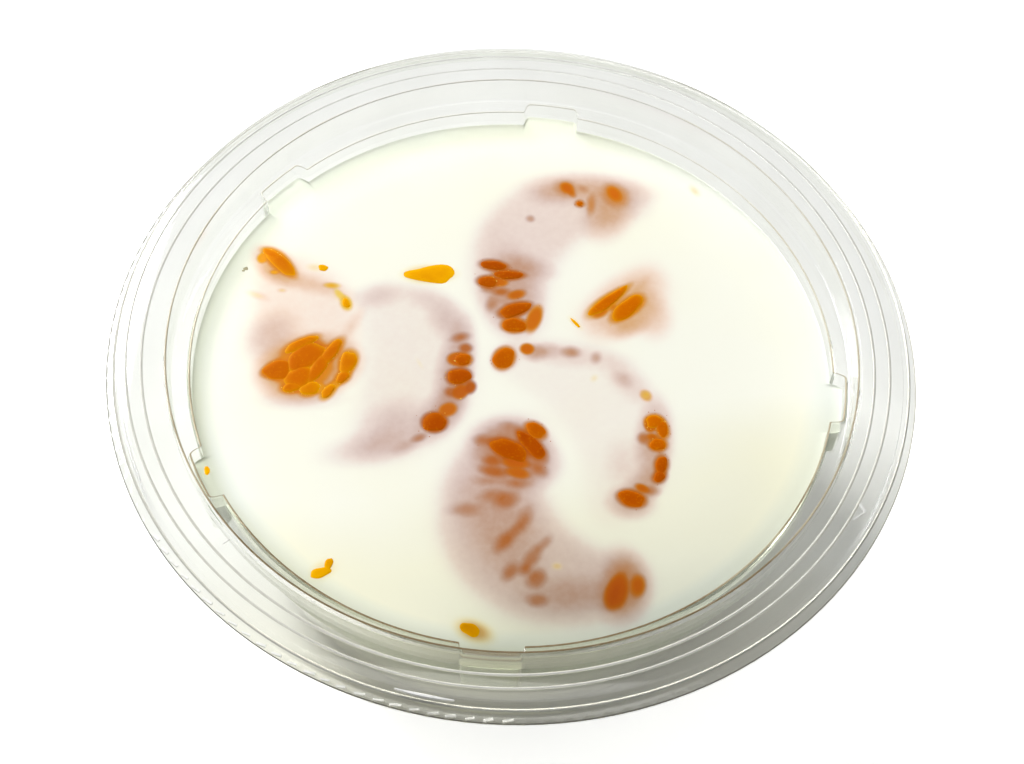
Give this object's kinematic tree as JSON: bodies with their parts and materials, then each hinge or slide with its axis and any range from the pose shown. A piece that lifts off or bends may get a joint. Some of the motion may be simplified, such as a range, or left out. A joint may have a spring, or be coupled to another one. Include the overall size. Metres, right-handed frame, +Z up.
{
  "type": "milk jelly cup",
  "caption": "Shallow clear plastic cup with a wide flanged rim, filled with white milk jelly in which mandarin segments lie just under the surface.",
  "frame": {"origin": "middle of the cup's flat base", "axes": "+Z up along the cup's axis, +Y towards the far side, +X to the right"},
  "size_m": [0.118, 0.118, 0.044],
  "materials": {
    "clear_plastic": "clear thermoformed sheet, glossy, slightly grey at its edges",
    "milk_jelly": "opaque creamy white jelly, smooth and wet",
    "mandarin": "wet orange juice sacs, translucent"
  },
  "bodies": {
    "root": {"cup": "clear_plastic", "milk_jelly": "milk_jelly", "mandarin_segment_1": "mandarin", "mandarin_segment_2": "mandarin", "mandarin_segment_3": "mandarin", "mandarin_segment_4": "mandarin", "mandarin_segment_5": "mandarin", "mandarin_segment_6": "mandarin"}
  },
  "joints": []
}
